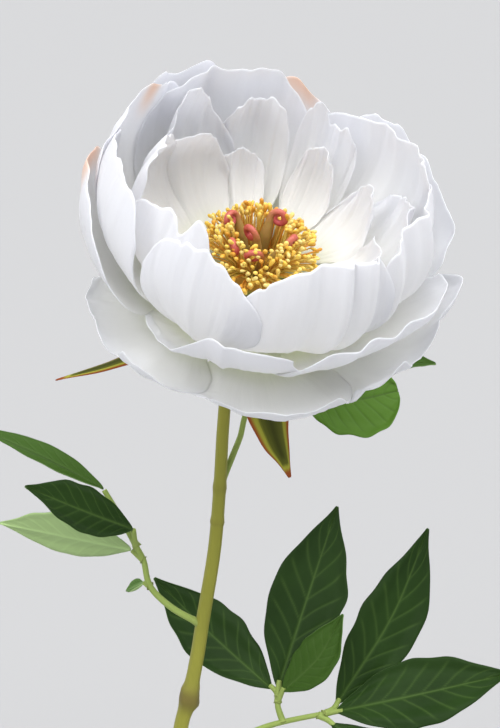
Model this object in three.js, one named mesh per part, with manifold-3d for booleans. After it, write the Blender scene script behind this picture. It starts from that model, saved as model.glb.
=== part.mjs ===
// A cut peony in a plain glazed bud vase. Millimetres, +Z up, origin at the middle of the vase's underside.
// The stem leans on the vase's lip and carries one open bloom and three leaf stalks.
import * as THREE from 'three';
import { mergeVertices } from 'three/addons/utils/BufferGeometryUtils.js';
import Module from 'manifold-3d';

const wasm = await Module();
wasm.setup();

// ---------------------------------------------------------------- driving dimensions
const GAP = 0.3;                    // clearance kept where two pieces touch

const VASE = {
  height: 140,
  baseRadius: 28,
  bellyRadius: 36,
  bellyHeight: 44,
  neckRadius: 11.2,
  neckHeight: 106,
  lipRadius: 13,
  wall: 3,
  floor: 5,
  sides: 32,
};

const STEM = {
  topRadius: 1.8,
  footRadius: 3.1,
  knobHeight: 173,                  // the swollen joint that the lower leaf stalk grew from
  knobSwell: 1.3,
  knobSpread: 4,
  sides: 10,
  steps: 26,
};

const STALK_RADIUS = 1.1;
const STALK_SIDES = 6;
const LEAF_THICKNESS = 0.8;
const PETAL_THICKNESS = 0.7;

const BLOOM = {
  origin: [30.5, -22, 330],         // the top of the receptacle
  tilt: 29.3,                       // degrees, nodding forward
  lean: 10.2,                       // degrees, leaning to the right
  receptacleRadius: 8.2,
  receptacleDepth: 13,
  petalFoot: 8.8,                   // radius where every petal starts
};

// Each ring of petals lies on one surface of revolution about the bloom's axis.
// profile: four control points [radius, height]; petals: [azimuth, half span] in degrees;
// shingle: how far a petal leaves that surface per radian, so that neighbours lap without touching;
// droop: how far the rim hangs on the front left side; tuck: the share by which it is drawn in there.
const RINGS = [
  {
    name: 'inner_petal', colour: 0xf6f5ee, shingle: 3.0, droop: 0, tuck: 0, tipWidth: 0.5, rounding: 0.22,
    profile: [[BLOOM.petalFoot, 0], [24, -3], [42, 8], [33, 31]],
    petals: [[172, 21], [141, 22], [106, 19], [66, 21], [32, 21], [-6, 20]],
  },
  {
    name: 'middle_petal', colour: 0xf4f4f1, shingle: 2.6, droop: 0, tuck: 0, tipWidth: 0.55, rounding: 0.18,
    profile: [[BLOOM.petalFoot, -2.2], [30, -6.5], [50, 6], [42, 38]],
    petals: [[219, 28], [133, 28], [98, 26], [64, 26], [14, 29]],
  },
  {
    name: 'cup_petal', colour: 0xf2f2f2, shingle: 2.2, droop: 0, tuck: 0, tipWidth: 0.6, rounding: 0.12,
    profile: [[BLOOM.petalFoot, -4.4], [35, -10], [60, 8], [49, 42]],
    petals: [[112, 38], [37, 36], [-13, 32], [-67, 31], [-116, 28], [196, 30], [155, 30]],
  },
  {
    name: 'outer_petal', colour: 0xf0f0f2, shingle: 2.0, droop: 2, tuck: 0.04, tipWidth: 0.6, rounding: 0.14,
    profile: [[BLOOM.petalFoot, -6.6], [38, -15], [67, 2], [60, 30]],
    petals: [[180, 42], [-108, 37], [-38, 38], [34, 39], [107, 40]],
  },
  {
    name: 'guard_petal', colour: 0xeeeef2, shingle: 2.0, droop: 9, tuck: 0.13, tipWidth: 0.55, rounding: 0.2,
    profile: [[BLOOM.petalFoot, -8.8], [36, -20], [62, -15], [66, 6]],
    petals: [[-141, 40], [-78, 35], [-20, 35], [50, 40], [128, 42]],
  },
];
const SLACK_AZIMUTH = THREE.MathUtils.degToRad(-140);

// Carpels: azimuth and reach of each stigma from the bloom's axis, and its height.
const CARPELS = [
  { azimuth: 146, reach: 12, height: 18 },
  { azimuth: 76, reach: 9, height: 19 },
  { azimuth: -28, reach: 10, height: 18 },
  { azimuth: -86, reach: 11, height: 17 },
  { azimuth: -156, reach: 11, height: 16 },
  { azimuth: -135, reach: 2.5, height: 17 },
];
const CARPEL = { footRadius: 4.9, foot: 1.5, belly: 1.9, neck: 0.9, head: 2.3 };

const STAMENS = {
  bundles: 5,
  perBundle: 7,
  footRadius: 7.7,
  foot: 1.5,
  footWidth: 1,
  reach: 17,
  height: 12,
  filament: 0.35,
  antherLength: 2.6,
  antherRadius: 0.8,
};

// Sepals, from where they leave the receptacle to their tips, with the direction that their outside faces.
const SEPALS = [
  {
    name: 'front_sepal', width: 15, face: [0.25, -1, 0.1],
    path: [[31.8, -22.5, 315.6], [33.6, -29.5, 301], [35.3, -31, 282.5], [41.8, -30, 262.2]],
  },
  {
    name: 'left_sepal', width: 6, face: [-0.3, -0.5, 0.8],
    path: [[20.6, -16.2, 320.6], [5, -7, 303.5], [-17.5, 0, 291.7], [-36, 3, 285.2]],
  },
  {
    name: 'back_sepal', width: 16, face: [0.1, 0.3, -1],
    path: [[29.2, -9.6, 318.2], [30, 4, 319], [32, 18, 322], [34, 30, 328]],
  },
];

const STEM_PATH = [
  [-10.5, -4.2, 9], [-4.4, -4, 60], [1.2, -3.8, 115], [3.4, -3.6, 140], [5, -3, 161.5], [7.7, -3, 172],
  [10.9, -2.3, 188.5], [12.8, -2, 201], [16.9, -2, 227], [18.8, -2, 250], [19.9, -2.2, 269.5],
  [21.2, -3.2, 284], [24.4, -6.4, 302], [28.4, -15.2, 318.2],
];

// Leaf stalks: every branch runs from its first point to its last.
const STALKS = [
  {
    name: 'upper_leaf_stalk',
    branches: [
      [[18.6, -2, 248.5], [23.2, 3, 259], [25.5, 8, 263.5], [28.6, 14, 272], [38, 18, 276], [46.8, 19.8, 274.5]],
      [[28.6, 14, 272], [42, 24, 279], [59, 29.6, 276.8]],
    ],
  },
  {
    name: 'left_leaf_stalk',
    branches: [
      [[12.4, -2, 199.5], [1.9, -1, 205.5], [-5.2, 0, 212.8], [-7.4, 1, 221.9], [-9.8, -0.6, 228], [-10, -3.2, 233.8]],
      [[-7.4, 1, 221.9], [-10.6, 2.6, 224.3]],
      [[-9.4, 0, 227], [-12.6, 2, 232.4], [-20.2, 5.8, 244.6]],
      [[-5.2, 0, 212.8], [-6.6, 1.2, 213.9]],
    ],
  },
  {
    name: 'right_leaf_stalk',
    branches: [
      [[4.7, -3.4, 146.6], [20.1, 4, 151.5], [33.1, 12, 154.2], [40.6, 16, 154.7], [57.5, 20, 156.7]],
      [[40.6, 16, 154.7], [38.8, 18, 160], [38.9, 19.4, 163.4]],
    ],
  },
];

// Leaves: midrib from base to tip, full width, the direction that the upper side faces,
// and fold: how far the margins rise, as a share of the half width.
const LEAVES = [
  {
    name: 'upper_leaf_1', width: 29, face: [0, -0.8, 0.6], fold: 0.12,
    path: [[47.7, 20.2, 274.2], [64, 22, 272.5], [80, 26, 274.5]],
  },
  {
    name: 'upper_leaf_2', width: 16, face: [0.1, -0.35, 0.93], fold: 0.2,
    path: [[60.2, 30, 276.6], [77, 36.5, 281.2], [93.5, 34, 282]],
  },
  {
    name: 'left_leaf_1', width: 19, face: [0.1, -0.65, 0.75], fold: 0.15,
    path: [[-10.6, -4, 234.9], [-27, -10, 243.8], [-45, -18, 255]],
  },
  {
    name: 'left_leaf_2', width: 21, face: [0, 0.9, 0.45], fold: 0.12,
    path: [[-11.7, 3.2, 224.9], [-31, 7, 227.6], [-57.7, 16, 229.8]],
  },
  {
    name: 'left_leaf_3', width: 13, face: [0.3, -0.15, 0.95], fold: 0.25,
    path: [[-20.9, 6.2, 245.8], [-40, 10, 255.4], [-67, 16, 265.7]],
  },
  {
    name: 'left_leaf_4', width: 5, face: [0, -0.6, 0.8], fold: 0.1,
    path: [[-7.5, 1.9, 213.2], [-10.5, 5, 210.6], [-13.8, 8, 207.8]],
  },
  {
    name: 'right_leaf_1', width: 23, face: [0.1, -0.75, 0.65], fold: 0.12,
    path: [[36.4, 22.2, 164.9], [14.3, 31, 182.6], [-5.4, 35, 202]],
  },
  {
    name: 'right_leaf_2', width: 27, face: [0, -0.85, 0.5], fold: 0.12,
    path: [[38.9, 21.8, 165.2], [49.5, 34, 195], [60.4, 48, 224.5]],
  },
  {
    name: 'right_leaf_3', width: 16, face: [-0.2, -0.75, 0.6], fold: 0.12,
    path: [[40.5, 18, 165.6], [52.6, 16, 179], [61.6, 18, 195]],
  },
  {
    name: 'right_leaf_4', width: 23, face: [0.25, -0.8, 0.5], fold: 0.12,
    path: [[60, 22.6, 158.8], [80, 32, 189], [92.6, 40, 219]],
  },
  {
    name: 'right_leaf_5', width: 25, face: [0, -0.75, 0.65], fold: 0.12,
    path: [[59.6, 18.6, 157.6], [89.5, 14, 166.5], [120.1, 6, 178]],
  },
  {
    name: 'right_leaf_6', width: 17, face: [0, -0.3, 0.95], fold: 0.15,
    path: [[57.8, 16.6, 153.8], [73, 4, 149], [91, -10, 142]],
  },
];

const COLOURS = {
  vase: 0xe9e6df,
  stem: 0x8f9638,
  stalk: 0x8a9a45,
  leaf: 0x2f5523,
  paleLeaf: 0xa0c077,
  sepal: 0x74722f,
  receptacle: 0x9aa45a,
  carpel: 0xa88f3c,
  stamen: 0xe3b93f,
};
const FINISH = { leaf: 0.55, petal: 0.85, glaze: 0.25 };

// ---------------------------------------------------------------- general helpers
const vector = (p) => new THREE.Vector3(...p);
const radians = THREE.MathUtils.degToRad;
const smooth = (x, low, high) => THREE.MathUtils.smoothstep(x, low, high);
const splineThrough = (points) => new THREE.CatmullRomCurve3(points.map(vector), false, 'centripetal');

function material(colour, roughness) {
  return new THREE.MeshStandardMaterial({ color: colour, roughness, metalness: 0 });
}

function meshFrom(name, geometry, colour, roughness) {
  const mesh = new THREE.Mesh(geometry, material(colour, roughness));
  mesh.name = name;
  return mesh;
}

function geometryFrom(vertices, faces) {
  const geometry = new THREE.BufferGeometry();
  const flat = vertices.flatMap((v) => [v.x, v.y, v.z]);
  geometry.setAttribute('position', new THREE.Float32BufferAttribute(flat, 3));
  geometry.setIndex(faces.flat());
  return geometry;
}

function solidFrom(geometry) {
  const bare = geometry.clone();
  bare.deleteAttribute('normal');
  bare.deleteAttribute('uv');
  const merged = mergeVertices(bare, 1e-4);
  return new wasm.Manifold(new wasm.Mesh({
    numProp: 3,
    vertProperties: new Float32Array(merged.attributes.position.array),
    triVerts: new Uint32Array(merged.index.array),
  }));
}

function geometryOf(solid) {
  const mesh = solid.getMesh();
  const geometry = new THREE.BufferGeometry();
  geometry.setAttribute('position', new THREE.BufferAttribute(new Float32Array(mesh.vertProperties), 3));
  geometry.setIndex(new THREE.BufferAttribute(new Uint32Array(mesh.triVerts), 1));
  return geometry;
}

const union = (geometries) => geometries.map(solidFrom).reduce((all, next) => all.add(next));

// A closed thin solid about the surface position(u, v), with u and v from 0 to 1.
function sheetSolid(position, acrossCells, alongCells, thickness) {
  const step = 1e-3;
  const inside = (x) => THREE.MathUtils.clamp(x, step, 1 - step);
  const normalAt = (u, v) => {
    const [a, b] = [inside(u), inside(v)];
    const across = position(a + step, b).sub(position(a - step, b));
    const along = position(a, b + step).sub(position(a, b - step));
    return across.cross(along).normalize();
  };
  const columns = acrossCells + 1;
  const vertices = [];
  for (const side of [1, -1]) {
    for (let j = 0; j <= alongCells; j += 1) {
      for (let i = 0; i <= acrossCells; i += 1) {
        const [u, v] = [i / acrossCells, j / alongCells];
        vertices.push(position(u, v).addScaledVector(normalAt(u, v), side * thickness / 2));
      }
    }
  }
  const back = columns * (alongCells + 1);
  const at = (i, j) => j * columns + i;
  const faces = [];
  for (let j = 0; j < alongCells; j += 1) {
    for (let i = 0; i < acrossCells; i += 1) {
      const [a, b, c, d] = [at(i, j), at(i + 1, j), at(i + 1, j + 1), at(i, j + 1)];
      faces.push([a, b, c], [a, c, d], [back + a, back + c, back + b], [back + a, back + d, back + c]);
    }
  }
  const rim = [];
  for (let i = 0; i < acrossCells; i += 1) rim.push(at(i, 0));
  for (let j = 0; j < alongCells; j += 1) rim.push(at(acrossCells, j));
  for (let i = acrossCells; i > 0; i -= 1) rim.push(at(i, alongCells));
  for (let j = alongCells; j > 0; j -= 1) rim.push(at(0, j));
  rim.forEach((here, k) => {
    const next = rim[(k + 1) % rim.length];
    faces.push([here, back + here, back + next], [here, back + next, next]);
  });
  return geometryFrom(vertices, faces);
}

// A closed tube along a curve; radiusAt gives the radius at a share of the curve's length and a point.
function taperedTube(curve, radiusAt, steps, sides) {
  const frames = curve.computeFrenetFrames(steps, false);
  const vertices = [];
  for (let k = 0; k <= steps; k += 1) {
    const share = k / steps;
    const centre = curve.getPointAt(share);
    const radius = radiusAt(share, centre);
    for (let s = 0; s < sides; s += 1) {
      const angle = 2 * Math.PI * s / sides;
      vertices.push(centre.clone()
        .addScaledVector(frames.normals[k], radius * Math.cos(angle))
        .addScaledVector(frames.binormals[k], radius * Math.sin(angle)));
    }
  }
  const [foot, top] = [vertices.length, vertices.length + 1];
  vertices.push(curve.getPointAt(0), curve.getPointAt(1));
  const faces = [];
  for (let s = 0; s < sides; s += 1) {
    const next = (s + 1) % sides;
    for (let k = 0; k < steps; k += 1) {
      const [a, b, c, d] = [k * sides + s, k * sides + next, (k + 1) * sides + next, (k + 1) * sides + s];
      faces.push([a, b, c], [a, c, d]);
    }
    faces.push([foot, next, s], [top, steps * sides + s, steps * sides + next]);
  }
  return geometryFrom(vertices, faces);
}

// ---------------------------------------------------------------- the vase
function vaseGeometry() {
  const v = VASE;
  const outside = new THREE.CatmullRomCurve3([
    new THREE.Vector3(v.baseRadius, 2, 0),
    new THREE.Vector3(v.bellyRadius, v.bellyHeight, 0),
    new THREE.Vector3(v.neckRadius + 9, v.neckHeight - 23, 0),
    new THREE.Vector3(v.neckRadius, v.neckHeight, 0),
    new THREE.Vector3(v.neckRadius, v.height - 8, 0),
    new THREE.Vector3(v.lipRadius, v.height - 1, 0),
  ], false, 'centripetal').getSpacedPoints(10).map((p) => new THREE.Vector2(p.x, p.y));
  const inside = [...outside].reverse()
    .filter((p) => p.y > v.floor + v.wall && p.y < v.height - 2)
    .map((p) => new THREE.Vector2(p.x - v.wall, p.y));
  const lip = new THREE.Vector2(v.lipRadius - 1.4, v.height);
  const profile = [
    new THREE.Vector2(0, 0),
    new THREE.Vector2(v.baseRadius - 1.5, 0),
    ...outside,
    lip,
    new THREE.Vector2(v.lipRadius - v.wall, v.height - 1),
    ...inside,
    new THREE.Vector2(v.baseRadius - v.wall - 2, v.floor),
    new THREE.Vector2(0, v.floor),
  ];
  return standingLathe(profile, v.sides);
}

// LatheGeometry turns about Y with its faces out for a profile that climbs; here the axis is made Z.
function standingLathe(profile, sides) {
  return new THREE.LatheGeometry(profile, sides).rotateX(Math.PI / 2);
}

// ---------------------------------------------------------------- stem and stalks
const stemCurve = splineThrough(STEM_PATH);

function stemRadius(share, point) {
  const knob = STEM.knobSwell * Math.exp(-(((point.z - STEM.knobHeight) / STEM.knobSpread) ** 2));
  return THREE.MathUtils.lerp(STEM.footRadius, STEM.topRadius, share) + knob;
}

const stemGeometry = () => taperedTube(stemCurve, stemRadius, STEM.steps, STEM.sides);

function stalkGeometry(stalk) {
  const tubes = stalk.branches.map((points) => taperedTube(
    splineThrough(points),
    (share) => STALK_RADIUS * (1.15 - 0.3 * share),
    Math.max(2, 3 * (points.length - 1)),
    STALK_SIDES,
  ));
  const clearOfStem = taperedTube(
    stemCurve,
    (share, point) => stemRadius(share, point) + GAP,
    STEM.steps,
    STEM.sides,
  );
  return geometryOf(union(tubes).subtract(solidFrom(clearOfStem)));
}

// ---------------------------------------------------------------- leaves and sepals
// Half the blade's width at a share of its length: a narrow foot, widest before the middle, a pointed tip.
const bladeShape = (v) => 0.06 + 0.94 * Math.sin(Math.PI * v ** 0.95);

function bladeGeometry(blade, acrossCells, alongCells) {
  const midrib = splineThrough(blade.path);
  const face = vector(blade.face).normalize();
  const position = (u, v) => {
    const side = midrib.getTangentAt(v).cross(face).normalize();
    const up = side.clone().cross(midrib.getTangentAt(v)).normalize();
    const half = bladeShape(v) * blade.width / 2;
    const across = 2 * u - 1;
    return midrib.getPointAt(v)
      .addScaledVector(side, half * across)
      .addScaledVector(up, (blade.fold ?? 0) * half * across * across);
  };
  return sheetSolid(position, acrossCells, alongCells, LEAF_THICKNESS);
}

// ---------------------------------------------------------------- the bloom
function ringPoint(ring, azimuth, along) {
  const slack = (1 + Math.cos(azimuth - SLACK_AZIMUTH)) / 2;
  const [foot, low, high, rim] = ring.profile.map((p) => new THREE.Vector2(...p));
  high.y -= ring.droop * slack / 2;
  rim.y -= ring.droop * slack;
  high.x *= 1 - ring.tuck * slack;
  rim.x *= 1 - ring.tuck * slack;
  const p = new THREE.CubicBezierCurve(foot, low, high, rim).getPoint(along);
  return new THREE.Vector3(p.x * Math.cos(azimuth), p.x * Math.sin(azimuth), p.y);
}

function ringNormal(ring, azimuth, along) {
  const step = 1e-3;
  const t = THREE.MathUtils.clamp(along, step, 1 - step);
  const across = ringPoint(ring, azimuth + step, t).sub(ringPoint(ring, azimuth - step, t));
  const up = ringPoint(ring, azimuth, t + step).sub(ringPoint(ring, azimuth, t - step));
  return across.cross(up).normalize();
}

// A petal's width as a share of its widest: a narrow claw, a broad blade and a rounded tip.
function petalShape(ring, v) {
  const claw = 0.5;
  const opening = claw + (1 - claw) * smooth(v, 0, 0.55);
  return opening * (1 - (1 - ring.tipWidth) * smooth(v, 0.6, 1) ** 2);
}

function petalGeometry(ring, azimuthDegrees, halfSpanDegrees) {
  const middle = radians(azimuthDegrees);
  const halfSpan = radians(halfSpanDegrees);
  const position = (u, v) => {
    const across = 2 * u - 1;
    const turn = across * halfSpan * petalShape(ring, v);
    const along = v * (1 - ring.rounding * across ** 4);
    const offset = ring.shingle * turn * smooth(v, 0.02, 0.4);
    return ringPoint(ring, middle + turn, along)
      .addScaledVector(ringNormal(ring, middle + turn, along), offset);
  };
  return sheetSolid(position, 6, 6, PETAL_THICKNESS);
}

function receptacleGeometry() {
  const r = BLOOM.receptacleRadius;
  return standingLathe([
    new THREE.Vector2(0, -BLOOM.receptacleDepth),
    new THREE.Vector2(2.6, -BLOOM.receptacleDepth),
    new THREE.Vector2(r - 1, -10.4),
    new THREE.Vector2(r, -7),
    new THREE.Vector2(r, 0),
    new THREE.Vector2(r - 0.8, 1.1),
    new THREE.Vector2(0, 1.1),
  ], 20);
}

function carpelMesh(carpel, index) {
  const c = CARPEL;
  const azimuth = radians(carpel.azimuth);
  const central = carpel.reach < c.footRadius;
  const footRadius = central ? 0 : c.footRadius;
  const foot = new THREE.Vector3(Math.cos(azimuth) * footRadius, Math.sin(azimuth) * footRadius, c.foot);
  const head = new THREE.Vector3(
    Math.cos(azimuth) * carpel.reach,
    Math.sin(azimuth) * carpel.reach,
    carpel.height,
  );
  const length = foot.distanceTo(head) + 1;
  const profile = [
    [0, 0], [1.2, 0], [c.belly, 0.18], [c.belly, 0.36], [1.2, 0.55], [c.neck, 0.68], [1.5, 0.78],
    [c.head, 0.88], [1.6, 0.97], [0, 1],
  ].map(([radius, share]) => new THREE.Vector2(radius, share * length));
  const mesh = meshFrom(`carpel_${index + 1}`, standingLathe(profile, 8), COLOURS.carpel, FINISH.leaf);
  mesh.position.copy(foot);
  mesh.quaternion.setFromUnitVectors(new THREE.Vector3(0, 0, 1), head.clone().sub(foot).normalize());
  return mesh;
}

// One stamen: a filament that curves up and out from the receptacle, and a pear-shaped anther on it.
function stamenGeometry(azimuth, reach, height) {
  const s = STAMENS;
  const out = new THREE.Vector3(Math.cos(azimuth), Math.sin(azimuth), 0);
  const at = (radius, z) => [out.x * radius, out.y * radius, z];
  const middleRadius = THREE.MathUtils.lerp(s.footRadius, reach, 0.42);
  const path = splineThrough([at(s.footRadius, s.foot + 0.3), at(middleRadius, height * 0.62), at(reach, height)]);
  const filament = taperedTube(path, () => s.filament, 2, 4);
  const end = vector(at(reach, height));
  const direction = path.getTangentAt(1);
  const start = end.clone().addScaledVector(direction, -0.4);
  const tip = end.clone().addScaledVector(direction, s.antherLength);
  const swell = (share) => 0.15 + s.antherRadius * Math.sin(Math.PI * (0.12 + 0.8 * share));
  const anther = taperedTube(new THREE.LineCurve3(start, tip), swell, 2, 5);
  return [filament, anther];
}

// One bundle of stamens, joined at the foot by a short arc of the staminal ring.
function stamenBundle(index) {
  const s = STAMENS;
  const sector = 2 * Math.PI / s.bundles;
  const gapAngle = 0.06;
  const position = (u, v) => {
    const angle = index * sector + gapAngle + u * (sector - 2 * gapAngle);
    const radius = s.footRadius + (v - 0.5) * s.footWidth;
    return new THREE.Vector3(radius * Math.cos(angle), radius * Math.sin(angle), s.foot + 0.4);
  };
  const pieces = [sheetSolid(position, 6, 1, 0.8)];
  for (let k = 0; k < s.perBundle; k += 1) {
    const share = (k + 0.5) / s.perBundle;
    const azimuth = index * sector + gapAngle + share * (sector - 2 * gapAngle);
    const outer = k % 2 === 0;
    const reach = s.reach * (outer ? 1 : 0.82);
    const height = s.height * (outer ? 0.9 : 1.2);
    pieces.push(...stamenGeometry(azimuth, reach, height));
  }
  const geometry = geometryOf(union(pieces));
  return meshFrom(`stamens_${index + 1}`, geometry, COLOURS.stamen, FINISH.leaf);
}

function bloomGroup() {
  const bloom = new THREE.Group();
  bloom.position.set(...BLOOM.origin);
  bloom.rotation.set(radians(BLOOM.tilt), radians(BLOOM.lean), 0, 'YXZ');
  bloom.add(meshFrom('receptacle', receptacleGeometry(), COLOURS.receptacle, FINISH.leaf));
  CARPELS.forEach((carpel, index) => bloom.add(carpelMesh(carpel, index)));
  for (let index = 0; index < STAMENS.bundles; index += 1) bloom.add(stamenBundle(index));
  for (const ring of RINGS) {
    ring.petals.forEach(([azimuth, halfSpan], index) => bloom.add(meshFrom(
      `${ring.name}_${index + 1}`,
      petalGeometry(ring, azimuth, halfSpan),
      ring.colour,
      FINISH.petal,
    )));
  }
  return bloom;
}

// ---------------------------------------------------------------- assembly
const peony = new THREE.Group();
peony.add(meshFrom('vase', vaseGeometry(), COLOURS.vase, FINISH.glaze));
peony.add(meshFrom('main_stem', stemGeometry(), COLOURS.stem, FINISH.leaf));
for (const stalk of STALKS) {
  peony.add(meshFrom(stalk.name, stalkGeometry(stalk), COLOURS.stalk, FINISH.leaf));
}
for (const leaf of LEAVES) {
  const colour = leaf.name === 'left_leaf_2' ? COLOURS.paleLeaf : COLOURS.leaf;
  peony.add(meshFrom(leaf.name, bladeGeometry(leaf, 4, 8), colour, FINISH.leaf));
}
for (const sepal of SEPALS) {
  peony.add(meshFrom(sepal.name, bladeGeometry(sepal, 3, 7), COLOURS.sepal, FINISH.leaf));
}
peony.add(bloomGroup());

export default peony;
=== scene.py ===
"""A cut peony in a plain glazed bud vase: the looks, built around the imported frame."""

import math

import bpy
import numpy as np
from mathutils import Euler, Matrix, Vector
from mathutils.bvhtree import BVHTree


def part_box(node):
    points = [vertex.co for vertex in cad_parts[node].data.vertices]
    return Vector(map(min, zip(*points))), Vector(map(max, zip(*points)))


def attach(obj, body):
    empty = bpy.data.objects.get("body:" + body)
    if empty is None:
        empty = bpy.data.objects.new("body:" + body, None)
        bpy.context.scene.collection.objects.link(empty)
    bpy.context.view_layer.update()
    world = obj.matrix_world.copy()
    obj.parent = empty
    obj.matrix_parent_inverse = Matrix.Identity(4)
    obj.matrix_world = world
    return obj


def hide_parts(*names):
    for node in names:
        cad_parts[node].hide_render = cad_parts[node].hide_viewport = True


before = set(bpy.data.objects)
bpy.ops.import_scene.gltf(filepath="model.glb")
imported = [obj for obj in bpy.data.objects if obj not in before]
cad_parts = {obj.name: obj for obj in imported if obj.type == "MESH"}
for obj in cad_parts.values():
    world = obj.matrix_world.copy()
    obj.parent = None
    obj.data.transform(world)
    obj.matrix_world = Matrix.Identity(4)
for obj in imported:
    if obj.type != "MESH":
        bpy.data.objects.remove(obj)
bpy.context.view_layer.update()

MM = 0.001
SEED = 11

# ------------------------------------------------------------------ driving dimensions, in millimetres
PETAL_THICKNESS = 0.32
LEAF_THICKNESS = 0.5
PETAL_FOOT = 8.8
SLACK_AZIMUTH = math.radians(-140)
CLAW = 0.45

# Each ring of petals lies on one surface of revolution about the bloom's axis, as the frame's petals do.
# profile: four control points (radius, height). inset: how far the visible petals sit inside that surface.
# droop and tuck: how far the rim drops and closes in on the slack side. tip: a petal's width at the rim.
#
# A petal has its azimuth and half span in degrees, and in rim its length against the ring's at places
# across it, from -1 to 1. curl: how far the rim rolls out (+) or in (-). fold: depth of the keel. pleats:
# place across, width and depth of soft lengthwise folds. ruffle: size of the margin's waves. spread: where
# along it the claw opens. lean: how far each edge and the middle of the rim stand out. blush: warm tint
# between two places across.
def petal(azimuth, half_span, rim, **look):
    return azimuth, half_span, {"rim": rim, **look}


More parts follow.
